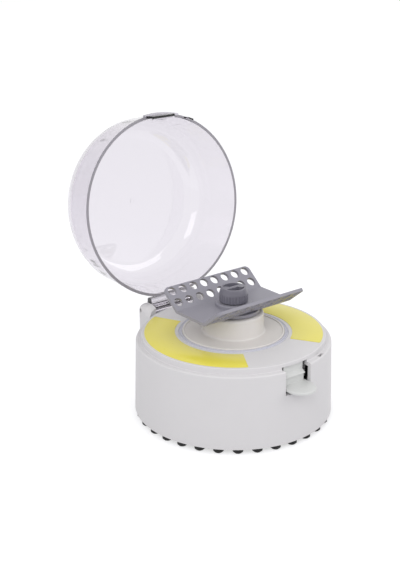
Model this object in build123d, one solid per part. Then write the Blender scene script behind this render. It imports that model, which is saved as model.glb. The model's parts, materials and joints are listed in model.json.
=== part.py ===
from build123d import *
from math import cos, radians, sin, tan
import os

# Microcentrifuge for two strips of PCR tubes, modelled with its clear lid open.
# Millimetres. The origin is on the rotor's axis at the surface that the feet stand on.
# +Z is up, the latch is at the front on -Y and the lid's hinge is at the back on +Y.

# Drum housing
foot_height = 3.5
wall_height = 49.2
plate_rise = 4.1
wall_radius = 65.35
wall_draft = 1.5
wall_thickness = 2.4
ledge_width = 3.75
deck_thickness = 2.4
rim_round = 1.05
edge_round = 0.5
inner_round = 1.0

# Joints between pieces
seat_gap = 0.3
slip_fit = 0.05
loose_fit = 0.2

# Groove in the deck, its seal and the hub cover inside it
groove_radius = 36.9
groove_width = 2.7
groove_depth = 1.2
seal_rise = 0.6
lip_rise = 1.4
lip_thickness = 1.4
dish_rise = 0.8
hub_radius = 20.0
hub_height = 14.5
hub_draft = 0.6
hub_wall = 2.0
hub_round = 1.5
hub_foot_round = 1.2
skirt_depth = 5.0
flange_width = 11.0
flange_thickness = 2.0

# Yellow labels on the deck
label_thickness = 0.2
label_margin = 2.0
label_inner_margin = 2.3
left_label_start = 117.0
left_label_sweep = 123.0
right_label_start = -58.3
right_label_sweep = 121.3

# Bottom cover, foot ring and their fasteners
cover_thickness = 2.5
foot_plate_thickness = 2.0
stud_count = 32
stud_angle = -126.1
stud_radius = 3.4
stud_circle = 62.9
stud_taper = 1.0
foot_plate_inner = 56.0
foot_rib_width = 2.5
peg_count = 8
peg_radius = 1.5
peg_circle = 60.3
peg_length = 3.4
column_radius = 4.2
column_circle = 52.0
column_count = 4
rib_thickness = 1.6
rib_lift = 6.0
cover_screw_radius = 1.5
cover_screw_length = 12.0
pan_head_radius = 2.8
pan_head_height = 1.9
vent_count = 9
vent_length = 15.0
vent_width = 2.4
vent_circle = 30.0

# Screws that hold the hub cover under the deck
liner_screw_count = 4
liner_boss_radius = 3.0
liner_boss_circle = 41.3
liner_screw_radius = 1.25
liner_screw_depth = 4.0

# Hinge block and pin
pin_offset = 5.09
pin_rise = 3.18
pin_radius = 1.5
ear_inner = 20.0
ear_width = 7.5
ear_radius = 4.3
block_depth = 34.0
block_slope = 8.0
ear_corner_round = 5.0
ear_front_drop = 3.2
ear_front_reach = 9.0
pin_end_recess = 1.2

# Lid
lid_inset = 1.15
lid_thickness = 2.0
lid_wall_height = 23.4
lid_taper = 2.9
crown_height = 19.6
crown_flat_radius = 45.0
lid_open_angle = 97.2
gate_radius = 1.6
gate_height = 0.3
knuckle_radius = 3.8
lug_side_gap = 1.0
lug_rise = 4.6
lug_slot_near = 6.0
lug_slot_length = 10.6
lug_slot_height = 1.2
lug_slot_depth = 2.2
heel_reach = 3.4
rim_bar_left = -10.0
rim_bar_right = 18.0
rim_bar_height = 2.5
rim_bar_depth = 1.0

# Latch window in the drum and the lid's catch
window_half = 10.45
window_frame = 2.0
window_frame_depth = 3.4
window_drop = 16.1
catch_half = 9.0
catch_thickness = 1.6
catch_drop = 8.4
catch_hook = 1.0
catch_hook_height = 1.3

# Latch lever
latch_recess = 5.85
latch_half = 8.0
latch_plate = 1.6
latch_top_gap = 0.4
latch_nose_drop = 6.5
latch_nose_reach = 2.5
latch_nose_height = 0.7
latch_nose_ramp = 1.5
latch_body_step = 1.3
tongue_drop = 11.7
tongue_thickness = 1.7
tongue_half = 9.8
tongue_reach = 11.6
tongue_round = 0.6
latch_pivot_depth = 3.3
latch_pivot_drop = 3.2
latch_pin_radius = 1.0
latch_barrel_radius = 2.5
latch_barrel_half = 3.6
latch_lug_thickness = 2.1
latch_spring_length = 8.1
latch_spring_radius = 2.4
latch_spring_wire = 0.3
latch_spring_turns = 5
latch_spring_drop = 10.7
bracket_thickness = 2.0
bracket_half = 6.0

# Lid safety switch
switch_angle = -67.0
slot_length = 5.8
slot_width = 2.0
slot_skin = 1.05
slot_depth = 8.3
finger_length = 4.6
finger_thickness = 1.1
finger_drop = 5.1
button_height = 1.5
button_travel = 1.2
button_length = 4.4
button_stem_radius = 1.2
switch_length = 12.8
switch_width = 6.5
switch_height = 6.0
switch_screw_radius = 1.0
switch_screw_pitch = 6.5

# Motor and its mounting under the hub
motor_radius = 14.0
motor_length = 40.0
motor_nose_radius = 5.0
motor_nose_height = 2.6
motor_cap_height = 3.0
motor_cap_inset = 0.8
motor_tail_radius = 4.0
motor_tail_height = 2.2
terminal_width = 2.8
terminal_length = 5.0
terminal_spacing = 9.0
damper_thickness = 1.5
damper_inner = 6.4
motor_screw_radius = 1.5
motor_screw_head = 2.8
motor_screw_circle = 8.6
motor_screw_length = 8.0
spindle_radius = 1.6

# Rotor: drive adapter, tray, washer and knob
rotor_gap = 0.6
rotor_angle = 1.07
adapter_flange_radius = 8.0
adapter_flange_height = 1.6
adapter_radius = 5.0
adapter_flat = 4.3
stud_screw_radius = 3.0
stud_screw_height = 5.4
tray_boss_radius = 17.5
tray_boss_height = 1.8
tray_thickness = 2.0
tray_half_width = 14.7
tray_slope = 39.0
tray_wall = 19.3
tray_corner = 3.5
tray_fold_round = 3.0
well_radius = 3.1
well_pitch = 9.0
well_count = 8
well_rows = 2
well_first = 6.5
tray_end_margin = 5.1
tray_disc_radius = 12.2
tray_disc_height = 2.3
washer_radius = 8.6
washer_thickness = 0.5
knob_gap = 0.1
knob_radius = 9.6
knob_top_radius = 8.4
knob_height = 9.3
knob_band = 5.3
knob_top_round = 0.7
knob_rib_count = 30
knob_rib_radius = 0.45
grip_depth = 2.4
grip_width = 2.7
grip_radius = 7.0
grip_bend = 5.2
insert_radius = 5.0
insert_height = 5.0

# Control board and DC inlet
board_length = 44.0
board_width = 30.0
board_thickness = 1.6
board_lift = 1.3
board_front = 28.0
standoff_radius = 2.6
standoff_inset = 3.0
board_screw_radius = 1.25
capacitor_radius = 4.0
capacitor_height = 11.0
chip_size = 6.0
chip_height = 1.6
inlet_height = 15.0
inlet_radius = 4.3
inlet_bore = 3.15
inlet_pin = 1.05
inlet_depth = 9.0
inlet_body_width = 10.0
inlet_body_depth = 8.0

# Places worked out from the sizes above
ledge_z = foot_height + wall_height
deck_z = ledge_z + plate_rise
deck_under_z = deck_z - deck_thickness
hub_top_z = deck_z + hub_height
cover_z = foot_height + foot_plate_thickness
cover_top_z = cover_z + cover_thickness
plate_radius = wall_radius - ledge_width
lid_radius = wall_radius - lid_inset
lid_seat_z = ledge_z + seat_gap
pin_y = wall_radius + pin_offset
pin_z = ledge_z + pin_rise
pin_axis = Axis((0, pin_y, pin_z), (1, 0, 0))
ear_outer = ear_inner + ear_width
lug_half = ear_inner - lug_side_gap
recess_floor_z = pin_z - knuckle_radius - 2 * seat_gap
flange_z = deck_under_z - skirt_depth
window_z = ledge_z - window_drop
latch_y = -(wall_radius - latch_recess)
latch_pivot_y = latch_y + latch_pivot_depth
latch_pivot_z = deck_under_z - latch_pivot_drop
tongue_z = ledge_z - tongue_drop
latch_back_y = latch_y + latch_plate
spring_z = ledge_z - latch_spring_drop
bracket_y = latch_back_y + latch_spring_length + 4 * loose_fit
motor_top_z = hub_top_z - hub_wall - damper_thickness
adapter_z = hub_top_z + rotor_gap - 0.1
tray_z = hub_top_z + rotor_gap + tray_boss_height
tray_top_z = tray_z + tray_thickness
disc_z = tray_top_z + tray_disc_height
washer_z = disc_z + knob_gap
knob_z = washer_z + washer_thickness + knob_gap
knob_top_z = knob_z + knob_height
rotor_turn = Rot(0, 0, rotor_angle)


def wall_outer(z):
    """Outer radius of the drafted drum wall at a height."""
    return wall_radius + wall_draft * (ledge_z - z) / wall_height


def section(*corners):
    """Closed outline through corners given as (x, y) or (x, y, round)."""
    points = [corner[:2] for corner in corners]
    rounds = [corner[2] if len(corner) == 3 else 0 for corner in corners]
    return make_face(FilletPolyline(*points, radius=rounds, close=True))


def turned(*corners, arc=360, start=0):
    """Solid of revolution about Z from (radius, height) corners."""
    solid = revolve(Plane.XZ * section(*corners), Axis.Z, revolution_arc=arc)
    return Rot(0, 0, start) * solid


def across(half, *corners):
    """Profile in (y, z) drawn out along X to both sides."""
    return extrude(Plane.YZ * section(*corners), half, both=True)


def block(x0, x1, y0, y1, z0, z1):
    """Rectangular block between two corners."""
    size = (x1 - x0, y1 - y0, z1 - z0)
    return Pos((x0 + x1) / 2, (y0 + y1) / 2, (z0 + z1) / 2) * Box(*size)


def rod(radius, z0, z1, x=0.0, y=0.0):
    """Upright cylinder between two heights."""
    return Pos(x, y, (z0 + z1) / 2) * Cylinder(radius, z1 - z0)


def rod_x(radius, half, y, z):
    """Cylinder along X, centred on the middle plane."""
    return Pos(0, y, z) * Rot(0, 90, 0) * Cylinder(radius, 2 * half)


def ring_places(radius, count, start=0.0):
    """Places evenly spaced round a circle."""
    return PolarLocations(radius, count, start_angle=start)


def opened(shape):
    """Turns a shape from the closed lid's place to the open one."""
    return shape.rotate(pin_axis, -lid_open_angle)


def save(name, shape):
    """Writes one piece, or one group of equal pieces, as a named file."""
    solids = shape.solids()
    export_step(solids[0] if len(solids) == 1 else Compound(children=list(solids)), f"parts/{name}.step")


# Housing


def drum():
    """Drafted wall, ledge for the lid and raised deck with its groove."""
    inner_plate = plate_radius - wall_thickness + 0.4
    ledge_under = ledge_z - wall_thickness
    groove_inner = groove_radius - groove_width + loose_fit
    return turned(
        (wall_outer(foot_height), foot_height),
        (wall_radius, ledge_z, rim_round),
        (plate_radius, ledge_z, edge_round),
        (plate_radius, deck_z, edge_round),
        (groove_radius, deck_z),
        (groove_radius, deck_z - groove_depth),
        (groove_inner, deck_z - groove_depth),
        (groove_inner, deck_under_z),
        (inner_plate, deck_under_z),
        (inner_plate, ledge_under),
        (wall_radius - wall_thickness, ledge_under, inner_round),
        (wall_outer(foot_height) - wall_thickness, foot_height),
    )


def hinge_block():
    """Two rounded ears on a block that grows out of the drum's back."""
    back = pin_y + ear_radius
    top = pin_z + ear_radius
    bottom = ledge_z - block_depth
    shape = across(
        ear_outer,
        (wall_radius - ear_front_reach, bottom),
        (wall_radius, bottom),
        (back, bottom + block_slope, 2.0),
        (back, top, ear_radius - 0.1),
        (pin_y - ear_radius, top, 2.5),
        (wall_radius - ear_front_reach, top - ear_front_drop),
    )
    upright = shape.edges().filter_by(Axis.Z).group_by(Axis.Y)[-1]
    shape = fillet(upright, ear_corner_round)
    shape -= rod(lid_radius + 2 * seat_gap, bottom - 1, top + 1)
    shape -= block(-ear_inner, ear_inner, 0, back + 1, recess_floor_z, top + 1)
    return shape


def latch_mounts():
    """Lugs for the latch's pin and the bracket behind its spring."""
    lug_front = latch_back_y + 0.7
    lug_back = latch_pivot_y + latch_barrel_radius
    lug_near = latch_barrel_half + seat_gap
    lug_far = lug_near + latch_lug_thickness
    low = latch_pivot_z - latch_barrel_radius
    shape = block(-lug_far, lug_far, lug_front, lug_back, low, deck_under_z)
    shape -= block(-lug_near, lug_near, lug_front, lug_back, low, deck_under_z)
    shape -= rod_x(latch_pin_radius + slip_fit, lug_far, latch_pivot_y, latch_pivot_z)
    bracket_low = spring_z - latch_spring_radius - 1
    shape += block(
        -bracket_half, bracket_half, bracket_y, bracket_y + bracket_thickness, bracket_low, deck_under_z
    )
    return shape


def switch_frame(shape):
    """Moves a shape drawn with X outwards to the safety switch's place."""
    return Rot(0, 0, switch_angle) * shape


def switch_back():
    """Radius of the face that the safety switch is screwed to."""
    return wall_radius - wall_thickness - slot_skin - switch_width


def switch_mount():
    """Rib behind the safety switch."""
    back = switch_back()
    top = ledge_z - slot_depth + loose_fit
    half = switch_length / 2
    shape = block(back - bracket_thickness, back, -half, half, top - switch_height, deck_under_z)
    for side in (-1, 1):
        hole = Rot(0, 90, 0) * Cylinder(switch_screw_radius, 4 * bracket_thickness)
        shape -= Pos(back, side * switch_screw_pitch / 2, top - switch_height / 2) * hole
    return switch_frame(shape)


def housing_columns():
    """Screw columns under the deck for the bottom cover and the hub cover."""
    long_column = rod(column_radius, cover_top_z, deck_under_z)
    long_hole = rod(cover_screw_radius, cover_top_z, cover_top_z + cover_screw_length + 1)
    short_column = rod(liner_boss_radius, flange_z, deck_under_z)
    short_hole = rod(liner_screw_radius, flange_z, flange_z + liner_screw_depth + 0.5)
    rib_end = wall_radius - wall_thickness / 2 - column_circle
    rib = block(0, rib_end, -rib_thickness / 2, rib_thickness / 2, cover_top_z + rib_lift, ledge_z - wall_thickness)
    shape = Part()
    for place in ring_places(column_circle, column_count, 45):
        shape += place * (long_column + rib - long_hole)
    for place in ring_places(liner_boss_circle, liner_screw_count, 0):
        shape += place * (short_column - short_hole)
    return shape


def main_housing():
    shape = drum() + hinge_block() + housing_columns() + latch_mounts() + switch_mount()
    front = -(wall_radius - window_frame_depth)
    frame_half = window_half + window_frame
    frame_low = window_z - window_frame
    shape += block(-frame_half, frame_half, -(wall_radius - 1), front, frame_low, ledge_z - 1)
    shape -= block(-window_half, window_half, -80, latch_back_y + 1, window_z, deck_under_z)
    slot_outer = wall_radius - slot_skin
    slot = block(
        slot_outer - slot_width, slot_outer, -slot_length / 2, slot_length / 2, ledge_z - slot_depth, ledge_z
    )
    shape -= switch_frame(slot)
    shape -= rod_x(pin_radius + slip_fit, ear_outer + 1, pin_y, pin_z)
    hole = Rot(90, 0, 0) * Cylinder(inlet_radius + loose_fit, 20)
    shape -= Pos(0, wall_radius, inlet_height) * hole
    return shape


# Hub cover, seal and labels


def hub_cover():
    """Shallow dish with the fixed hub over the motor, hung under the deck."""
    lip_outer = groove_radius - groove_width
    lip_inner = lip_outer - lip_thickness
    lip_z = deck_z + lip_rise
    dish_z = deck_z + dish_rise
    dish_under = dish_z - hub_wall
    foot_radius = hub_radius + hub_draft
    flange_radius = lip_outer + flange_width
    shape = turned(
        (0, hub_top_z),
        (hub_radius, hub_top_z, hub_round),
        (foot_radius, dish_z, hub_foot_round),
        (lip_inner - 0.2, dish_z),
        (lip_inner + 0.2, lip_z, 0.3),
        (lip_outer, lip_z, 0.5),
        (lip_outer, flange_z),
        (flange_radius, flange_z),
        (flange_radius, flange_z - flange_thickness),
        (lip_inner - 0.6, flange_z - flange_thickness),
        (lip_inner - 0.6, dish_under),
        (foot_radius - hub_wall, dish_under),
        (hub_radius - hub_wall, hub_top_z - hub_wall),
        (0, hub_top_z - hub_wall),
    )
    shape -= rod(motor_nose_radius + loose_fit, hub_top_z - 2 * hub_wall, hub_top_z + 1)
    for place in ring_places(liner_boss_circle, liner_screw_count):
        shape -= place * rod(liner_screw_radius + loose_fit, flange_z - flange_thickness, flange_z)
    for place in motor_screw_places():
        shape -= place * rod(motor_screw_radius + loose_fit, hub_top_z - hub_wall, hub_top_z)
        shape -= place * countersink(hub_top_z, slip_fit)
    return shape


def seal_ring():
    """Grey ring that fills the groove round the hub cover's lip."""
    inner = groove_radius - groove_width + loose_fit / 2
    outer = groove_radius - loose_fit
    low = deck_z - groove_depth
    return turned((inner, low), (outer, low), (outer, deck_z + seal_rise, 0.4), (inner, deck_z + seal_rise, 0.4))


def label(start, sweep):
    """Arc-shaped label stuck on the deck."""
    inner = groove_radius + label_inner_margin
    outer = plate_radius - label_margin
    top = deck_z + label_thickness
    return turned((inner, deck_z), (outer, deck_z), (outer, top), (inner, top), arc=sweep, start=start)


# Underside


def bottom_cover():
    """Plate that closes the drum, with vents, screw holes and board standoffs."""
    radius = wall_outer(cover_z) - wall_thickness - loose_fit
    shape = rod(radius, cover_z, cover_top_z)
    for place in ring_places(column_circle, column_count, 45):
        shape -= place * rod(cover_screw_radius + loose_fit, cover_z, cover_top_z)
    for place in ring_places(peg_circle, peg_count):
        shape -= place * rod(peg_radius + slip_fit, cover_z, cover_top_z)
    vent = extrude(SlotOverall(vent_length, vent_width), cover_thickness)
    for step in range(vent_count):
        angle = 180 + 180 * (step + 0.5) / vent_count
        shape -= Rot(0, 0, angle) * Pos(vent_circle, 0, cover_z) * vent
    for place in board_screw_places():
        shape += place * rod(standoff_radius, cover_top_z, cover_top_z + board_lift)
        shape -= place * rod(board_screw_radius, cover_z + 0.8, cover_top_z + board_lift)
    return shape


def foot_ring():
    """Black rubber ring: studs under the drum's edge and one unbroken inner rib."""
    outer = wall_outer(foot_height) - wall_thickness - loose_fit
    rib_outer = foot_plate_inner + foot_rib_width
    shape = turned(
        (foot_plate_inner, 0, 0.3),
        (rib_outer, 0, 0.3),
        (rib_outer, foot_height),
        (outer, foot_height),
        (outer, cover_z),
        (foot_plate_inner, cover_z),
    )
    stud = turned((0, 0), (stud_radius - stud_taper, 0), (stud_radius, stud_taper), (stud_radius, foot_height), (0, foot_height))
    for place in ring_places(stud_circle, stud_count, stud_angle):
        shape += place * stud
    for place in ring_places(peg_circle, peg_count):
        shape += place * rod(peg_radius, cover_z - 1, cover_z + peg_length)
    return shape


def pan_screw(head_z, radius, length, head_radius, head_height):
    """Pan-head screw driven upwards, its head below head_z."""
    shape = rod(head_radius, head_z - head_height, head_z)
    low_edges = shape.edges().group_by(Axis.Z)[0]
    shape = fillet(low_edges, head_height / 3)
    return shape + rod(radius, head_z - head_height / 2, head_z + length)


def bottom_screws():
    screw = pan_screw(cover_z, cover_screw_radius - slip_fit, cover_thickness + cover_screw_length,
                      pan_head_radius, pan_head_height)
    return Compound([place * screw for place in ring_places(column_circle, column_count, 45)])


def liner_screws():
    screw = pan_screw(flange_z - flange_thickness, liner_screw_radius - slip_fit,
                      flange_thickness + liner_screw_depth, 2 * liner_screw_radius, pan_head_height)
    return Compound([place * screw for place in ring_places(liner_boss_circle, liner_screw_count)])


# Hinge and lid


def hinge_pin():
    return rod_x(pin_radius, ear_outer - pin_end_recess, pin_y, pin_z)


def lid_shell():
    """Clear dome in its closed place: tapered wall, elliptical shoulder, flat crown."""
    foot = lid_radius
    neck = lid_radius - lid_taper
    neck_z = lid_seat_z + lid_wall_height
    top_z = neck_z + crown_height
    wall = lid_thickness
    crown = crown_flat_radius
    with BuildSketch(Plane.XZ) as sketch:
        with BuildLine():
            Line((foot, lid_seat_z), (neck, neck_z))
            EllipticalCenterArc((crown, neck_z), neck - crown, crown_height, start_angle=0, arc_size=90)
            Line((crown, top_z), (0, top_z))
            Line((0, top_z), (0, top_z - wall))
            Line((0, top_z - wall), (crown, top_z - wall))
            EllipticalCenterArc((crown, neck_z), neck - wall - crown, crown_height - wall, start_angle=0, arc_size=90)
            Line((neck - wall, neck_z), (foot - wall, lid_seat_z))
            Line((foot - wall, lid_seat_z), (foot, lid_seat_z))
        make_face()
    shell = revolve(sketch.sketch, Axis.Z)
    return shell + rod(gate_radius, top_z - wall / 2, top_z + gate_height)


def lid_lug():
    """Hinge arm and barrel behind the lid's rim, in the closed place."""
    inside = lid_radius - lid_thickness / 2
    arm = across(
        lug_half,
        (inside, lid_seat_z),
        (pin_y, lid_seat_z),
        (pin_y, pin_z + knuckle_radius * 0.9),
        (inside, lid_seat_z + lug_rise),
    )
    return arm + rod_x(knuckle_radius, lug_half, pin_y, pin_z)


def lid_heel():
    """Heel that meets the recess floor when the lid is fully open."""
    low = recess_floor_z + seat_gap
    return block(-lug_half, lug_half, pin_y, pin_y + heel_reach, low, pin_z)


def lid_catch():
    """Flat tab with a small inward hook below the lid's front rim."""
    outer = -(lid_radius - seat_gap)
    inner = outer + catch_thickness
    tip = inner + catch_hook
    low = lid_seat_z - catch_drop
    hook_z = low + catch_hook_height
    return across(
        catch_half,
        (outer, lid_seat_z + 1),
        (outer, low, 0.4),
        (inner - 0.2, low),
        (tip, hook_z - 0.4),
        (tip, hook_z),
        (inner, hook_z),
        (inner, lid_seat_z + 1),
    )


def lid_dome():
    shape = lid_shell() + lid_lug() + lid_catch()
    bar = turned(
        (lid_radius - 1, lid_seat_z),
        (lid_radius + rim_bar_depth, lid_seat_z),
        (lid_radius + rim_bar_depth, lid_seat_z + rim_bar_height),
        (lid_radius - 1, lid_seat_z + rim_bar_height),
    )
    shape += bar & block(rim_bar_left, rim_bar_right, -80, 0, lid_seat_z, lid_seat_z + rim_bar_height)
    finger_outer = wall_radius - slot_skin - (slot_width - finger_thickness) / 2
    shape += switch_frame(block(finger_outer - finger_thickness, finger_outer, -finger_length / 2,
                                finger_length / 2, lid_seat_z - finger_drop, lid_seat_z + 1))
    shape = opened(shape) + lid_heel()
    slot_y = pin_y - knuckle_radius
    slot_z = pin_z + knuckle_radius / 2
    for side in (-1, 1):
        middle = side * (lug_slot_near + lug_slot_length / 2)
        shape -= block(middle - lug_slot_length / 2, middle + lug_slot_length / 2,
                       slot_y - 1, slot_y + lug_slot_depth, slot_z - lug_slot_height / 2,
                       slot_z + lug_slot_height / 2)
    return shape - rod_x(pin_radius + slip_fit, lug_half, pin_y, pin_z)


# Latch


def latch_lever():
    """Rocking latch: plate with a nose that holds the catch, and a thumb tongue."""
    top = deck_under_z - latch_top_gap
    nose_z = ledge_z - latch_nose_drop
    body_y = latch_y - latch_body_step
    nose_y = latch_y - latch_nose_reach
    tongue_low = tongue_z - tongue_thickness
    root_y = -(wall_radius + tongue_reach - tongue_half)
    shape = across(
        latch_half,
        (latch_back_y, top),
        (latch_y, top, 0.3),
        (latch_y, nose_z + latch_nose_height + latch_nose_ramp, 0.3),
        (nose_y, nose_z + latch_nose_height, 0.2),
        (nose_y, nose_z),
        (body_y, nose_z),
        (body_y, tongue_z),
        (body_y, tongue_low),
        (latch_back_y, tongue_low),
    )
    sheet = Pos(0, (root_y + latch_back_y) / 2) * Rectangle(2 * tongue_half, latch_back_y - root_y)
    sheet += Pos(0, root_y) * Circle(tongue_half)
    tongue = extrude(Pos(0, 0, tongue_low) * sheet, tongue_thickness)
    tongue = fillet(tongue.edges().group_by(Axis.Z)[-1], tongue_round)
    shape += tongue
    shape += rod_x(latch_barrel_radius, latch_barrel_half, latch_pivot_y, latch_pivot_z)
    return shape - rod_x(latch_pin_radius + slip_fit, latch_barrel_half, latch_pivot_y, latch_pivot_z)


def latch_pin():
    half = latch_barrel_half + seat_gap + latch_lug_thickness
    return rod_x(latch_pin_radius, half, latch_pivot_y, latch_pivot_z)


def latch_spring():
    """Small coil spring between the lever's back and the bracket."""
    length = latch_spring_length - 2 * latch_spring_wire
    pitch = length / latch_spring_turns
    radius = latch_spring_radius - latch_spring_wire
    path = Helix(pitch, length, radius)
    start = Plane(path @ 0, z_dir=path % 0)
    coil = sweep(start * Circle(latch_spring_wire), path, is_frenet=True)
    return Pos(0, latch_back_y + 2 * loose_fit + latch_spring_wire, spring_z) * Rot(-90, 0, 0) * coil


# Safety switch


def safety_switch():
    """Snap switch screwed to its rib below the slot in the ledge."""
    back = switch_back()
    top = ledge_z - slot_depth + loose_fit
    half = switch_length / 2
    shape = block(back, back + switch_width, -half, half, top - switch_height, top)
    shape -= rod(button_stem_radius + slip_fit, top - button_stem_depth(), top, x=button_x())
    for side in (-1, 1):
        hole = Rot(0, 90, 0) * Cylinder(switch_screw_radius + slip_fit, 2 * switch_width)
        shape -= Pos(back + switch_width / 2, side * switch_screw_pitch / 2, top - switch_height / 2) * hole
    return switch_frame(shape)


def button_x():
    """Radius of the switch button's stem."""
    return switch_back() + switch_width - button_stem_radius - 0.6


def button_stem_depth():
    """How far the stem's bore goes into the switch."""
    return switch_height - 1.5


def switch_button():
    """Sprung button under the slot, pressed by the lid's finger."""
    top = lid_seat_z - finger_drop - seat_gap
    outer = wall_radius - slot_skin - (slot_width - finger_thickness) / 2
    inner = button_x() - button_stem_radius
    half = button_length / 2
    shape = block(inner, outer, -half, half, top - button_height, top)
    switch_top = ledge_z - slot_depth + loose_fit
    low = switch_top - button_stem_depth() + button_travel + loose_fit
    shape += rod(button_stem_radius, low, top - button_height / 2, x=button_x())
    return switch_frame(shape)


def switch_screws():
    back = switch_back()
    middle = ledge_z - slot_depth + loose_fit - switch_height / 2
    outer = back + switch_width + loose_fit / 4
    length = switch_width + bracket_thickness
    shapes = []
    for side in (-1, 1):
        shank = Pos(outer - length / 2, 0, 0) * Rot(0, 90, 0) * Cylinder(switch_screw_radius - slip_fit, length)
        shapes.append(switch_frame(Pos(0, side * switch_screw_pitch / 2, middle) * shank))
    return Compound(shapes)


# Motor


def motor_screw_places():
    return ring_places(motor_screw_circle, 2)


def countersink(face_z, gap=0.0):
    """Conical screw head flush with a face."""
    depth = motor_screw_head - motor_screw_radius
    radius = motor_screw_radius + gap
    return turned((0, face_z - depth), (radius, face_z - depth), (motor_screw_head + gap, face_z), (0, face_z))


def drive_motor():
    """Steel can with its front bearing nose and rear tail."""
    low = motor_top_z - motor_length
    shape = rod(motor_radius, low, motor_top_z)
    shape = fillet(shape.edges().group_by(Axis.Z)[-1], 1.2)
    shape += rod(motor_nose_radius, motor_top_z - 1, motor_top_z + motor_nose_height)
    shape -= rod(spindle_radius + slip_fit, low, motor_top_z + motor_nose_height)
    for place in motor_screw_places():
        shape -= place * rod(motor_screw_radius, motor_top_z - motor_screw_length, motor_top_z)
    return shape


def motor_end_cap():
    """Moulded rear cap that carries the terminals."""
    top = motor_top_z - motor_length
    low = top - motor_cap_height
    shape = rod(motor_radius - motor_cap_inset, low, top)
    shape += rod(motor_tail_radius, low - motor_tail_height, low + 1)
    for side in (-1, 1):
        shape -= block(side * terminal_spacing - 0.3, side * terminal_spacing + 0.3,
                       -terminal_width / 2, terminal_width / 2, low, top)
    return shape


def motor_terminals():
    top = motor_top_z - motor_length
    shapes = []
    for side in (-1, 1):
        shapes.append(block(side * terminal_spacing - 0.25, side * terminal_spacing + 0.25,
                            -terminal_width / 2 + 0.05, terminal_width / 2 - 0.05,
                            top - motor_cap_height - terminal_length, top))
    return Compound(shapes)


def motor_damper():
    """Rubber pad between the motor's face and the hub cover."""
    outer = motor_radius - 0.4
    shape = turned((damper_inner, motor_top_z), (outer, motor_top_z),
                   (outer, motor_top_z + damper_thickness), (damper_inner, motor_top_z + damper_thickness))
    for place in motor_screw_places():
        shape -= place * rod(motor_screw_radius + loose_fit, motor_top_z, motor_top_z + damper_thickness)
    return shape


def motor_screws():
    low = motor_top_z - motor_screw_length + 0.5
    screw = countersink(hub_top_z) + rod(motor_screw_radius - slip_fit, low, hub_top_z - 0.5)
    return Compound([place * screw for place in motor_screw_places()])


def motor_spindle():
    low = motor_top_z - motor_length + 1
    return rod(spindle_radius, low, disc_z + stud_screw_height / 2 - loose_fit)


# Rotor


def flatted(radius, flat, z0, z1):
    """Cylinder with two flats for driving."""
    return rod(radius, z0, z1) & block(-radius, radius, -flat, flat, z0, z1)


def drive_adapter():
    """Brass hub pressed on the spindle, with flats and a screwed stud for the knob."""
    flange_top = adapter_z + adapter_flange_height
    shape = rod(adapter_flange_radius, adapter_z, flange_top)
    shape += flatted(adapter_radius, adapter_flat, flange_top, disc_z)
    shape += rod(stud_screw_radius, disc_z - 1, disc_z + stud_screw_height)
    shape = chamfer(shape.edges().group_by(Axis.Z)[-1], 0.5)
    return shape - rod(spindle_radius, adapter_z, disc_z + stud_screw_height / 2)


def tray_sheet():
    """Flat floor with two sloping walls, folded from one even thickness."""
    rise = sin(radians(tray_slope))
    run = cos(radians(tray_slope))
    tip_y = tray_half_width + tray_wall * run
    tip_z = tray_z + tray_wall * rise
    fold_y = tray_half_width - tray_thickness * tan(radians(tray_slope / 2))
    half = (well_count - 1) * well_pitch / 2 + tray_end_margin
    right = [
        (tray_half_width, tray_z, tray_fold_round),
        (tip_y, tip_z),
        (tip_y - tray_thickness * rise, tip_z + tray_thickness * run),
        (fold_y, tray_top_z, tray_fold_round - tray_thickness),
    ]
    left = [(-corner[0], *corner[1:]) for corner in reversed(right)]
    shape = across(half, *right, *left)
    ends = [edge for edge in shape.edges() if abs(edge.center().X) > half - 0.01
            and abs(edge.length - tray_thickness) < 0.01 and abs(edge.center().Y) > tray_half_width + 1]
    return fillet(ends, tray_corner)


def tray_wells(shape):
    """Through holes square to the sloping walls, two rows of eight on each."""
    drill = Cylinder(well_radius, 4 * tray_thickness)
    first_x = -(well_count - 1) * well_pitch / 2
    for side in (-1, 1):
        wall = Pos(0, side * tray_half_width, tray_z) * Rot(side * tray_slope, 0, 0)
        for row in range(well_rows):
            along = side * (well_first + row * well_pitch)
            for step in range(well_count):
                shape -= wall * Pos(first_x + step * well_pitch, along, 0) * drill
    return shape


def rotor_tray():
    boss_z = hub_top_z + rotor_gap
    shape = tray_sheet() + rod(tray_boss_radius, boss_z, tray_z + 0.3)
    disc = rod(tray_disc_radius, tray_z, disc_z)
    shape += fillet(disc.edges().group_by(Axis.Z)[-1], 0.6)
    shape = tray_wells(shape)
    shape -= rod(adapter_flange_radius + loose_fit, boss_z, adapter_z + adapter_flange_height)
    shape -= flatted(adapter_radius + slip_fit, adapter_flat + slip_fit, boss_z, disc_z)
    return rotor_turn * shape


def knob_washer():
    shape = rod(washer_radius, washer_z, washer_z + washer_thickness)
    return shape - rod(stud_screw_radius + loose_fit, washer_z, washer_z + washer_thickness)


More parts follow.
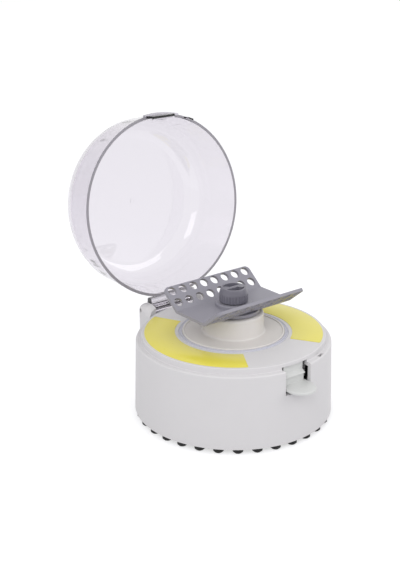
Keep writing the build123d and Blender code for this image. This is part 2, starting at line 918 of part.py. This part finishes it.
def rotor_knob():
    """Ribbed knob with two crescent pockets that leave a curved grip bar."""
    band_z = knob_z + knob_band
    shape = turned(
        (0, knob_z),
        (knob_radius, knob_z, 0.4),
        (knob_radius, band_z),
        (knob_top_radius, knob_top_z, knob_top_round),
        (0, knob_top_z),
    )
    rib = rod(knob_rib_radius, knob_z - 1, band_z)
    for place in ring_places(knob_radius + knob_rib_radius / 3, knob_rib_count):
        shape -= place * rib
    pocket = Circle(grip_radius) & (Pos(0, grip_radius + grip_width / 2) * Rectangle(3 * grip_radius, 2 * grip_radius))
    pocket -= Pos(-grip_bend, grip_width / 2) * Circle(grip_width)
    floor = Pos(0, 0, knob_top_z - grip_depth)
    for turn in (0, 180):
        shape -= floor * Rot(0, 0, turn) * extrude(pocket, grip_depth + 1)
    shape -= rod(insert_radius + slip_fit / 2, knob_z, insert_z() + insert_height)
    return rotor_turn * shape


def insert_z():
    """Underside of the knob's threaded insert."""
    return knob_z + loose_fit


def knob_insert():
    """Brass threaded insert moulded into the knob."""
    low = insert_z()
    high = low + insert_height
    shape = rod(insert_radius, low, high) - rod(stud_screw_radius + slip_fit, low, high)
    return shape


# Electronics


def board_screw_places():
    half = board_length / 2 - standoff_inset
    near = board_front + standoff_inset
    far = board_front + board_width - standoff_inset
    return [Pos(x, y, 0) for x in (-half, half) for y in (near, far)]


def control_board():
    """Circuit board with its capacitor and driver chip."""
    low = cover_top_z + board_lift
    high = low + board_thickness
    shape = block(-board_length / 2, board_length / 2, board_front, board_front + board_width, low, high)
    for place in board_screw_places():
        shape -= place * rod(board_screw_radius + loose_fit, low, high)
    middle = board_front + board_width / 2
    shape += rod(capacitor_radius, high, high + capacitor_height, x=-board_length / 4, y=middle)
    shape += block(-chip_size / 2 + board_length / 4, chip_size / 2 + board_length / 4,
                   middle - chip_size / 2, middle + chip_size / 2, high, high + chip_height)
    return shape


def board_screws():
    low = cover_z + 1
    high = cover_top_z + board_lift + board_thickness
    screw = rod(board_screw_radius - slip_fit, low, high + 0.5) + rod(2 * board_screw_radius, high, high + 1.4)
    return Compound([place * screw for place in board_screw_places()])


def power_inlet():
    """DC inlet: square body on the board, round nose through the wall, centre pin."""
    face_y = wall_outer(inlet_height)
    low = cover_top_z + board_lift + board_thickness
    body_back = wall_radius - wall_thickness - 1.5
    half = inlet_body_width / 2
    shape = block(-half, half, body_back - inlet_body_depth, body_back, low, inlet_height + half)
    nose_length = face_y - body_back
    shape += Pos(0, face_y - nose_length / 2, inlet_height) * Rot(90, 0, 0) * Cylinder(inlet_radius, nose_length)
    bore = Rot(90, 0, 0) * Cylinder(inlet_bore, inlet_depth)
    shape -= Pos(0, face_y - inlet_depth / 2, inlet_height) * bore
    pin = Rot(90, 0, 0) * Cylinder(inlet_pin, inlet_depth - 0.5)
    return shape + Pos(0, face_y - inlet_depth / 2 - 0.75, inlet_height) * pin


PIECES = {
    "main_housing": main_housing,
    "hub_cover": hub_cover,
    "seal_ring": seal_ring,
    "left_label": lambda: label(left_label_start, left_label_sweep),
    "right_label": lambda: label(right_label_start, right_label_sweep),
    "bottom_cover": bottom_cover,
    "foot_ring": foot_ring,
    "bottom_screws": bottom_screws,
    "hub_cover_screws": liner_screws,
    "hinge_pin": hinge_pin,
    "lid_dome": lid_dome,
    "latch_lever": latch_lever,
    "latch_pin": latch_pin,
    "latch_spring": latch_spring,
    "safety_switch": safety_switch,
    "switch_button": switch_button,
    "switch_screws": switch_screws,
    "drive_motor": drive_motor,
    "motor_end_cap": motor_end_cap,
    "motor_terminals": motor_terminals,
    "motor_damper": motor_damper,
    "motor_screws": motor_screws,
    "motor_spindle": motor_spindle,
    "drive_adapter": drive_adapter,
    "rotor_tray": rotor_tray,
    "knob_washer": knob_washer,
    "rotor_knob": rotor_knob,
    "knob_insert": knob_insert,
    "control_board": control_board,
    "board_screws": board_screws,
    "power_inlet": power_inlet,
}

os.makedirs("parts", exist_ok=True)
for piece_name, make_piece in PIECES.items():
    save(piece_name, make_piece())
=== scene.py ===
import json
from math import pi, radians

import bmesh
import bpy
from mathutils import Matrix, Vector


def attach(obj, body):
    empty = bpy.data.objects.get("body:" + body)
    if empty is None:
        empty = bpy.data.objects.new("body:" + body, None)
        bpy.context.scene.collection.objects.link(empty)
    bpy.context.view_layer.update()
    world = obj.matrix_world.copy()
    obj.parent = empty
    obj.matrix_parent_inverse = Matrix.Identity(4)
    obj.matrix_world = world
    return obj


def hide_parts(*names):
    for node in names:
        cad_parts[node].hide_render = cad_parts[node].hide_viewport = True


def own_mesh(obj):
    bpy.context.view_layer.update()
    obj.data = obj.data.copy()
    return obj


MM = 0.001

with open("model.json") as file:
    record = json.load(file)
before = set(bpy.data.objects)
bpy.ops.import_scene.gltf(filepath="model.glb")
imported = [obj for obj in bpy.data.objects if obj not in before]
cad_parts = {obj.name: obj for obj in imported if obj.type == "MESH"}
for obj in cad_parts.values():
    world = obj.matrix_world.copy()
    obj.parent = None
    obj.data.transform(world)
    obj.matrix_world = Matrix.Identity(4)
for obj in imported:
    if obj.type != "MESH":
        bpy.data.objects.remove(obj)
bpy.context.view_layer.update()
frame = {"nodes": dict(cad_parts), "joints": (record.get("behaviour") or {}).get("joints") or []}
nodes = frame["nodes"]
joints = {joint["name"]: joint for joint in frame["joints"]}

# Photograph's frame and the camera that took it
image_width = 400
focal_pixels = 1037.5
sensor_width = 36.0
camera_place = Vector((-406.0, -497.4, 323.7)) * MM
camera_aim = Vector((-8.1, 26.0, 83.6)) * MM
camera_roll = radians(-0.29)

# Drum, deck and ring, as in the part
deck_z = 56.8 * MM
plate_radius = 61.6 * MM
groove_radius = 36.9 * MM
groove_width = 2.7 * MM
groove_depth = 1.2 * MM
seal_rise = 0.6 * MM
seal_gap = 0.2 * MM
seal_steps = 128

# Lid in its open place: the hinge, the way the rim faces, how far the rim's plane lies from the pin,
# and where the lug leaves the rim
lid_hinge = joints["lid_hinge"]
hinge_place = Vector(lid_hinge["pos_m"])
lid_turn = Matrix.Rotation(-radians(lid_hinge["range_deg"][1]), 3, "X")
rim_normal = lid_turn @ Vector((0, 0, -1))
rim_drop = 2.88 * MM
rim_tolerance = 0.1 * MM
rim_parallel = 0.999
lug_direction = lid_turn @ Vector((0, 1, 0))
lug_reach = 6.4 * MM
lug_root = hinge_place + rim_drop * rim_normal - lug_reach * lug_direction

# Latch's spring, between the lever's back and its bracket
spring_radius = 2.1 * MM
spring_wire = 0.3 * MM
wire_sides = 10
spring_length = 7.5 * MM
spring_turns = 5
spring_steps = 24
spring_front = -57.2 * MM
spring_z = 42.0 * MM

# Labels
label_thickness = 0.2 * MM
label_inner = groove_radius + 2.3 * MM
label_outer = plate_radius - 2.0 * MM
label_corner = 1.2 * MM
label_corner_steps = 5
label_step = 1.5
left_label_start = 117.0
left_label_sweep = 123.0
right_label_start = -58.3
right_label_sweep = 121.3

# Meshes: how close vertices are made one, how flat faces are joined and how sharp an edge stays sharp
double_distance = 0.001 * MM
weld_distance = 0.002 * MM
flat_angle = radians(0.3)
part_crease = radians(35)
label_crease = radians(50)
round_crease = radians(60)
bevel_from = radians(40)

# Light: what the white floor and world give as light and what the eye sees of them
white = (1.0, 1.0, 1.0, 1.0)
table_size = 3.0
table_bounce = "#CDCDCF"
table_shade = "#C0C0C3"
table_glow = 0.6
world_light = 0.78
world_seen = 1.0
lamp_aim = (0, 0, 0.06)


# Colours and nodes


def linear(colour):
    """sRGB hex value as the linear colour that shaders take."""
    channels = [int(colour[i : i + 2], 16) / 255 for i in (1, 3, 5)]
    return [c / 12.92 if c <= 0.04045 else ((c + 0.055) / 1.055) ** 2.4 for c in channels] + [1.0]


def add_node(tree, kind, inputs=None, **settings):
    """Adds one node, with its settings, and its inputs given as values or as sockets to link."""
    node = tree.nodes.new(kind)
    for name, value in settings.items():
        setattr(node, name, value)
    for name, value in (inputs or {}).items():
        if isinstance(value, bpy.types.NodeSocket):
            tree.links.new(value, node.inputs[name])
        else:
            node.inputs[name].default_value = value
    return node


def new_material(name):
    """An empty node material, its tree and its output node."""
    material = bpy.data.materials.new(name)
    material.use_nodes = True
    tree = material.node_tree
    tree.nodes.clear()
    return material, tree, add_node(tree, "ShaderNodeOutputMaterial")


cloud_size = 14 * MM


def moulded(name, colour, roughness, grain, depth, mottle=0.03, specular=0.5, coat=0.0):
    """Injection-moulded plastic: a grain from the tool's face and a faint unevenness of the colour."""
    material, tree, output = new_material(name)
    place = add_node(tree, "ShaderNodeTexCoord").outputs["Object"]
    cloud = add_node(tree, "ShaderNodeTexNoise", {"Vector": place, "Scale": 1 / cloud_size, "Detail": 3.0})
    dark = [c * (1 - mottle) for c in linear(colour)[:3]] + [1.0]
    tint = add_node(
        tree, "ShaderNodeMix", {0: cloud.outputs["Fac"], 6: dark, 7: linear(colour)}, data_type="RGBA"
    )
    pits = add_node(tree, "ShaderNodeTexNoise", {"Vector": place, "Scale": 1 / grain, "Detail": 2.0})
    rough = add_node(
        tree,
        "ShaderNodeMapRange",
        {"Value": pits.outputs["Fac"], "To Min": roughness - 0.05, "To Max": roughness + 0.05},
    )
    bump = add_node(
        tree, "ShaderNodeBump", {"Height": pits.outputs["Fac"], "Strength": 0.6, "Distance": depth}
    )
    shader = add_node(
        tree,
        "ShaderNodeBsdfPrincipled",
        {
            "Base Color": tint.outputs[2],
            "Roughness": rough.outputs["Result"],
            "Normal": bump.outputs["Normal"],
            "Specular IOR Level": specular,
            "Coat Weight": coat,
            "Coat Roughness": 0.12,
            "IOR": 1.53,
        },
    )
    tree.links.new(shader.outputs["BSDF"], output.inputs["Surface"])
    return material


line_depth = 0.02 * MM


def metal(name, colour, roughness, line, stretch):
    """Bare or plated metal with fine drawn or turned lines along one axis."""
    material, tree, output = new_material(name)
    place = add_node(tree, "ShaderNodeTexCoord").outputs["Object"]
    turn = add_node(tree, "ShaderNodeMapping", {"Vector": place, "Scale": stretch})
    lines = add_node(
        tree, "ShaderNodeTexNoise", {"Vector": turn.outputs["Vector"], "Scale": 1 / line, "Detail": 2.0}
    )
    rough = add_node(
        tree,
        "ShaderNodeMapRange",
        {"Value": lines.outputs["Fac"], "To Min": roughness - 0.08, "To Max": roughness + 0.08},
    )
    bump = add_node(
        tree, "ShaderNodeBump", {"Height": lines.outputs["Fac"], "Strength": 0.3, "Distance": line_depth}
    )
    shader = add_node(
        tree,
        "ShaderNodeBsdfPrincipled",
        {
            "Base Color": linear(colour),
            "Metallic": 1.0,
            "Roughness": rough.outputs["Result"],
            "Normal": bump.outputs["Normal"],
        },
    )
    tree.links.new(shader.outputs["BSDF"], output.inputs["Surface"])
    return material


def rubber(name, colour, roughness, grain, depth):
    """Matt rubber with a dusty bloom that lightens its high spots."""
    material, tree, output = new_material(name)
    place = add_node(tree, "ShaderNodeTexCoord").outputs["Object"]
    bloom = add_node(tree, "ShaderNodeTexNoise", {"Vector": place, "Scale": 1 / grain, "Detail": 4.0})
    pale = [min(1.0, c * 1.6 + 0.004) for c in linear(colour)[:3]] + [1.0]
    tint = add_node(
        tree, "ShaderNodeMix", {0: bloom.outputs["Fac"], 6: linear(colour), 7: pale}, data_type="RGBA"
    )
    bump = add_node(
        tree, "ShaderNodeBump", {"Height": bloom.outputs["Fac"], "Strength": 0.5, "Distance": depth}
    )
    shader = add_node(
        tree,
        "ShaderNodeBsdfPrincipled",
        {
            "Base Color": tint.outputs[2],
            "Roughness": roughness,
            "Normal": bump.outputs["Normal"],
            "Specular IOR Level": 0.35,
        },
    )
    tree.links.new(shader.outputs["BSDF"], output.inputs["Surface"])
    return material


polycarbonate_index = 1.585


def clear_plastic(name, colour, depth_tint, absorption, roughness):
    """Clear polycarbonate: bends light, and turns more lilac grey the more of it is looked through."""
    material, tree, output = new_material(name)
    shader = add_node(
        tree,
        "ShaderNodeBsdfPrincipled",
        {
            "Base Color": linear(colour),
            "Roughness": roughness,
            "IOR": polycarbonate_index,
            "Transmission Weight": 1.0,
        },
    )
    volume = add_node(
        tree, "ShaderNodeVolumeAbsorption", {"Color": linear(depth_tint), "Density": absorption}
    )
    tree.links.new(shader.outputs["BSDF"], output.inputs["Surface"])
    tree.links.new(volume.outputs["Volume"], output.inputs["Volume"])
    return material


def painted_rim_line_plastic(name, colour, roughness, through):
    """Grey, half see-through polycarbonate for the lid's rim faces: a painted line that stands in for the
    light bent through the clear rim edge.
    """
    material, tree, output = new_material(name)
    shader = add_node(
        tree,
        "ShaderNodeBsdfPrincipled",
        {
            "Base Color": linear(colour),
            "Roughness": roughness,
            "IOR": polycarbonate_index,
            "Transmission Weight": through,
        },
    )
    tree.links.new(shader.outputs["BSDF"], output.inputs["Surface"])
    return material


# Grains and lines are drawn two or three times coarser than real ones, so that they show at arm's length.

# Off-white shell: its eroded grain breaks up the lamps into a soft, even sheen.
housing_abs = moulded("spark_eroded_abs", "#D9D7D9", 0.46, 0.5 * MM, 0.02 * MM)
# Hub and dish, a little warmer and smoother than the shell.
hub_abs = moulded("satin_abs", "#DDD9D6", 0.38, 0.5 * MM, 0.012 * MM)
# Latch, as pale as the shell and smoother to the thumb.
latch_abs = moulded("latch_abs", "#D5D6D5", 0.4, 0.5 * MM, 0.012 * MM)
# Lemon film under a thin gloss, the brightest colour on the machine.
label_vinyl = moulded("yellow_vinyl_film", "#E8DC50", 0.3, 2.0 * MM, 0.01 * MM, coat=0.3)
# Filled nylon: mid grey with a lilac cast and a dull sheen.
rotor_pp = moulded("grey_glass_filled_nylon", "#8F8D97", 0.42, 0.45 * MM, 0.015 * MM)
# Knob, darker than the rotor and a little glossier.
knob_abs = moulded("dark_grey_abs", "#706E79", 0.32, 0.5 * MM, 0.01 * MM)
# Small black mouldings: switch, motor cap, washer and inlet.
black_nylon = moulded("black_nylon", "#1B1B1D", 0.45, 0.4 * MM, 0.015 * MM)
# Solder mask: dark green with uneven depth.
board_mask = moulded("green_solder_mask", "#1E5A3A", 0.3, 0.6 * MM, 0.01 * MM, mottle=0.15)
# Seal in the deck: a soft cool grey line.
seal_rubber = rubber("grey_silicone_rubber", "#B0B0BA", 0.55, 0.8 * MM, 0.01 * MM)
# Feet: near black, dulled by a light bloom.
foot_rubber = rubber("black_nitrile_rubber", "#0C0C0D", 0.5, 0.9 * MM, 0.02 * MM)
# Pad under the motor's face: matt black.
pad_rubber = rubber("black_epdm_pad", "#141414", 0.7, 0.7 * MM, 0.02 * MM)
# Screws: pale bluish steel without a direction.
zinc_steel = metal("zinc_plated_steel", "#B9BCC0", 0.35, 0.3 * MM, (1.0, 1.0, 1.0))
# Pins, spindle and spring: fine rings across their length.
ground_steel = metal("ground_steel", "#A9A8A6", 0.28, 0.12 * MM, (1.0, 12.0, 12.0))
# Motor's can: faint lines drawn along its length.
drawn_steel = metal("drawn_steel_can", "#B4B6B8", 0.38, 0.2 * MM, (8.0, 8.0, 1.0))
# Adapter, insert and terminals: warm metal with turned rings.
turned_brass = metal("turned_brass", "#C9A45A", 0.3, 0.1 * MM, (1.0, 1.0, 10.0))
# Lid: nearly clear, tinted a faint lilac grey.
clear_lid = clear_plastic("clear_polycarbonate", "#E8E5EA", "#C9C4CE", 40.0, 0.03)
# Lid's rim: a painted grey line where the wall ends, standing in for the light bent through the clear
# edge.
rim_painted_line = painted_rim_line_plastic("polycarbonate_rim_painted_line", "#C4C0CA", 0.35, 0.5)

FINISHES = {
    "main_housing": housing_abs,
    "hub_cover": hub_abs,
    "seal_ring": seal_rubber,
    "left_label": label_vinyl,
    "right_label": label_vinyl,
    "bottom_cover": housing_abs,
    "foot_ring": foot_rubber,
    "bottom_screws": zinc_steel,
    "hub_cover_screws": zinc_steel,
    "hinge_pin": ground_steel,
    "lid_dome": clear_lid,
    "latch_lever": latch_abs,
    "latch_pin": ground_steel,
    "latch_spring": ground_steel,
    "safety_switch": black_nylon,
    "switch_button": black_nylon,
    "switch_screws": zinc_steel,
    "drive_motor": drawn_steel,
    "motor_end_cap": black_nylon,
    "motor_terminals": turned_brass,
    "motor_damper": pad_rubber,
    "motor_screws": zinc_steel,
    "motor_spindle": ground_steel,
    "drive_adapter": turned_brass,
    "rotor_tray": rotor_pp,
    "knob_washer": black_nylon,
    "rotor_knob": knob_abs,
    "knob_insert": turned_brass,
    "control_board": board_mask,
    "board_screws": zinc_steel,
    "power_inlet": black_nylon,
}


def dress(thing, finish):
    """Gives a mesh object one finish all over."""
    thing.data.materials.clear()
    thing.data.materials.append(finish)


for node_name, finish in FINISHES.items():
    dress(nodes[node_name], finish)


# Meshes


def new_piece(name, shape, finish, body, replaced=()):
    """Turns a bmesh into a piece that rides on a body and takes a finish."""
    mesh = bpy.data.meshes.new(name)
    shape.to_mesh(mesh)
    shape.free()
    thing = bpy.data.objects.new(name, mesh)
    bpy.context.scene.collection.objects.link(thing)
    dress(thing, finish)
    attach(thing, body)
    if replaced:
        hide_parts(*replaced)
    return thing


def crease(shape, angle):
    """Smooth shading all over, except across edges that turn by more than an angle."""
    for face in shape.faces:
        face.smooth = True
    for edge in shape.edges:
        edge.smooth = len(edge.link_faces) == 2 and edge.calc_face_angle() < angle


def outward(shape):
    """Merges doubles and turns every face outwards."""
    bmesh.ops.remove_doubles(shape, verts=shape.verts, dist=double_distance)
    bmesh.ops.recalc_face_normals(shape, faces=shape.faces)


def lathe(corners, steps):
    """Closed outline of (radius, height) corners spun once about Z."""
    shape = bmesh.new()
    verts = [shape.verts.new((radius, 0, height)) for radius, height in corners]
    edges = [shape.edges.new((verts[i - 1], verts[i])) for i in range(len(verts))]
    bmesh.ops.spin(
        shape,
        geom=verts + edges,
        cent=(0, 0, 0),
        axis=(0, 0, 1),
        angle=2 * pi,
        steps=steps,
        use_merge=True,
    )
    outward(shape)
    return shape


def welded(node_name):
    """A merged copy of a CAD node's triangles, its flats joined into whole faces."""
    shape = bmesh.new()
    shape.from_mesh(nodes[node_name].data)
    for layer in list(shape.loops.layers.float_vector.values()):
        shape.loops.layers.float_vector.remove(layer)
    bmesh.ops.remove_doubles(shape, verts=shape.verts, dist=weld_distance)
    bmesh.ops.dissolve_limit(shape, angle_limit=flat_angle, verts=shape.verts, edges=shape.edges)
    return shape


def softened(name, node_name, finish, body, width, segments=2):
    """Stands for a CAD node with its sharp edges rounded, as a mould leaves them."""
    shape = welded(node_name)
    crease(shape, part_crease)
    thing = new_piece(name, shape, finish, body, (node_name,))
    bevel = thing.modifiers.new("edge_round", "BEVEL")
    bevel.width = width
    bevel.segments = segments
    bevel.limit_method = "ANGLE"
    bevel.angle_limit = bevel_from
    bevel.harden_normals = True
    bevel.use_clamp_overlap = True
    return thing


def label_band(name, start, sweep, node_name):
    """Arc of printed film on the deck, its corners rounded and its edge fallen over."""
    shape = bmesh.new()
    ends = [shape.verts.new((radius, 0, deck_z)) for radius in (label_inner, label_outer)]
    edge = shape.edges.new(ends)
    turn = Matrix.Rotation(radians(start), 3, "Z")
    bmesh.ops.rotate(shape, verts=ends, cent=(0, 0, 0), matrix=turn)
    bmesh.ops.spin(
        shape,
        geom=ends + [edge],
        cent=(0, 0, 0),
        axis=(0, 0, 1),
        angle=radians(sweep),
        steps=int(sweep / label_step),
    )
    corners = [vert for vert in shape.verts if len(vert.link_edges) == 2]
    bmesh.ops.bevel(
        shape,
        geom=corners,
        offset=label_corner,
        affect="VERTICES",
        segments=label_corner_steps,
        profile=0.5,
        material=-1,
    )
    raised = bmesh.ops.extrude_face_region(shape, geom=shape.faces[:])
    tops = [item for item in raised["geom"] if isinstance(item, bmesh.types.BMVert)]
    bmesh.ops.translate(shape, verts=tops, vec=(0, 0, label_thickness))
    outward(shape)
    rims = [
        edge
        for edge in shape.edges
        if len(edge.link_faces) == 2
        and edge.calc_face_angle() > round_crease
        and edge.verts[0].co.z > deck_z
    ]
    bmesh.ops.bevel(
        shape, geom=rims, offset=label_thickness / 3, affect="EDGES", segments=2, profile=0.5, material=-1
    )
    crease(shape, label_crease)
    return new_piece(name, shape, label_vinyl, "base", (node_name,))


def seal():
    """Silicone ring in the deck's groove, with two lips and a shallow channel between them."""
    inner = groove_radius - groove_width + seal_gap / 2
    outer = groove_radius - seal_gap
    low = deck_z - groove_depth
    high = deck_z + seal_rise
    lip = (outer - inner) / 4
    corners = [
        (inner, low),
        (outer, low),
        (outer, high - lip / 2),
        (outer - lip / 3, high),
        (outer - lip, high),
        (outer - 1.5 * lip, high - lip / 2),
        (inner + 1.5 * lip, high - lip / 2),
        (inner + lip, high),
        (inner + lip / 3, high),
        (inner, high - lip / 2),
    ]
    shape = lathe(corners, seal_steps)
    crease(shape, round_crease)
    return new_piece("silicone_seal", shape, seal_rubber, "base", ("seal_ring",))


def on_rim_plane(normal, centre):
    """Whether a face lies in the plane of the lid's rim and faces out of its mouth."""
    off = rim_normal.dot(centre - hinge_place) - rim_drop
    return normal.dot(rim_normal) > rim_parallel and abs(off) < rim_tolerance


def lid():
    """Clear dome with its hinge lug and catch, the rim faces painted greyer than the walls to stand in for
    the light bent through the edge.
    """
    shape = welded("lid_dome")
    rim_items = [face for face in shape.faces if on_rim_plane(face.normal, face.calc_center_median())]
    for face in rim_items[:]:
        rim_items += [*face.edges, *face.verts]
    bmesh.ops.bisect_plane(
        shape,
        geom=list(dict.fromkeys(rim_items)),
        plane_co=lug_root,
        plane_no=lug_direction,
        dist=double_distance,
    )
    crease(shape, part_crease)
    thing = new_piece("clear_dome", shape, clear_lid, "lid", ("lid_dome",))
    thing.data.materials.append(rim_painted_line)
    # Rim faces in front of the lug's root take the painted grey line; the rest of the lid stays clear.
    for face in thing.data.polygons:
        behind = lug_direction.dot(face.center - lug_root) > 0
        if on_rim_plane(face.normal, face.center) and not behind:
            face.material_index = 1
    return thing


def coil_spring():
    """The latch's coil spring, lying along Y between the lever's back and its bracket."""
    shape = bmesh.new()
    ring = bmesh.ops.create_circle(shape, segments=wire_sides, radius=spring_wire)["verts"]
    bmesh.ops.rotate(shape, verts=ring, cent=(0, 0, 0), matrix=Matrix.Rotation(pi / 2, 3, "X"))
    bmesh.ops.translate(shape, verts=ring, vec=(spring_radius, 0, 0))
    steps = spring_turns * spring_steps
    bmesh.ops.spin(
        shape,
        geom=shape.verts[:] + shape.edges[:],
        cent=(0, 0, 0),
        axis=(0, 0, 1),
        dvec=(0, 0, spring_length / steps),
        angle=2 * pi * spring_turns,
        steps=steps,
    )
    bmesh.ops.holes_fill(shape, edges=[edge for edge in shape.edges if edge.is_boundary])
    along_y = Matrix.Rotation(-pi / 2, 3, "X")
    bmesh.ops.rotate(shape, verts=shape.verts, cent=(0, 0, 0), matrix=along_y)
    bmesh.ops.translate(shape, verts=shape.verts, vec=(0, spring_front, spring_z))
    outward(shape)
    crease(shape, round_crease)
    thing = new_piece("coil_spring", shape, ground_steel, "base", ("latch_spring",))
    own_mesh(thing)


label_band("left_band", left_label_start, left_label_sweep, "left_label")
label_band("right_band", right_label_start, right_label_sweep, "right_label")
seal()
lid()
coil_spring()
softened("strip_rotor", "rotor_tray", rotor_pp, "rotor", 0.25 * MM)
softened("ribbed_knob", "rotor_knob", knob_abs, "knob", 0.15 * MM)
softened("thumb_latch", "latch_lever", latch_abs, "latch", 0.2 * MM)


# Floor, world, lamps and camera


def ray_share(tree):
    """1 for rays from the camera, a reflection or a view through the lid, else 0."""
    path = add_node(tree, "ShaderNodeLightPath")
    share = path.outputs["Is Camera Ray"]
    for kind in ("Is Glossy Ray", "Is Transmission Ray"):
        larger = add_node(tree, "ShaderNodeMath", {0: share, 1: path.outputs[kind]}, operation="MAXIMUM")
        share = larger.outputs[0]
    return share


def studio_floor():
    """White table that stays white to the eye and keeps a faint shadow."""
    shape = bmesh.new()
    bmesh.ops.create_grid(shape, x_segments=1, y_segments=1, size=table_size)
    mesh = bpy.data.meshes.new("table")
    shape.to_mesh(mesh)
    shape.free()
    floor = bpy.data.objects.new("table", mesh)
    bpy.context.scene.collection.objects.link(floor)
    material, tree, output = new_material("white_table")
    plain = add_node(tree, "ShaderNodeBsdfDiffuse", {"Color": linear(table_bounce)})
    shaded = add_node(tree, "ShaderNodeBsdfDiffuse", {"Color": linear(table_shade)})
    glow = add_node(tree, "ShaderNodeEmission", {"Color": white, "Strength": table_glow})
    both = add_node(tree, "ShaderNodeAddShader", {0: shaded.outputs[0], 1: glow.outputs[0]})
    mix = add_node(
        tree, "ShaderNodeMixShader", {0: ray_share(tree), 1: plain.outputs[0], 2: both.outputs[0]}
    )
    tree.links.new(mix.outputs[0], output.inputs["Surface"])
    dress(floor, material)


def studio_world():
    """Even white surroundings: white to the eye, a little weaker as light."""
    world = bpy.data.worlds.new("white_tent")
    bpy.context.scene.world = world
    world.use_nodes = True
    tree = world.node_tree
    tree.nodes.clear()
    strength = add_node(
        tree, "ShaderNodeMapRange", {"Value": ray_share(tree), "To Min": world_light, "To Max": world_seen}
    )
    back = add_node(
        tree, "ShaderNodeBackground", {"Color": white, "Strength": strength.outputs["Result"]}
    )
    output = add_node(tree, "ShaderNodeOutputWorld")
    tree.links.new(back.outputs[0], output.inputs["Surface"])


def softbox(name, place, aim, width, height, power):
    """Rectangular area lamp that faces a point."""
    lamp = bpy.data.lights.new(name, "AREA")
    lamp.shape = "RECTANGLE"
    lamp.size = width
    lamp.size_y = height
    lamp.energy = power
    box = bpy.data.objects.new(name, lamp)
    bpy.context.scene.collection.objects.link(box)
    box.location = place
    box.rotation_euler = (Vector(aim) - Vector(place)).to_track_quat("-Z", "Y").to_euler()
    return box


def studio_camera():
    """Camera at the photograph's place, level to within a third of a degree."""
    lens = bpy.data.cameras.new("camera")
    lens.sensor_width = sensor_width
    lens.sensor_fit = "HORIZONTAL"
    lens.lens = focal_pixels * sensor_width / image_width
    lens.clip_start = 0.05
    lens.clip_end = 20.0
    camera = bpy.data.objects.new("camera", lens)
    bpy.context.scene.collection.objects.link(camera)
    camera.location = camera_place
    facing = (camera_aim - camera_place).to_track_quat("-Z", "Y").to_matrix()
    camera.rotation_euler = (facing @ Matrix.Rotation(camera_roll, 3, "Z")).to_euler()
    bpy.context.scene.camera = camera


studio_floor()
studio_world()
key = softbox("key", (-0.9, -0.7, 0.9), lamp_aim, 0.7, 0.7, 6.0)
key.visible_glossy = False
softbox("fill", (0.8, -0.9, 0.7), lamp_aim, 0.8, 0.8, 3.0)
studio_camera()

bpy.context.scene.view_settings.view_transform = "Standard"
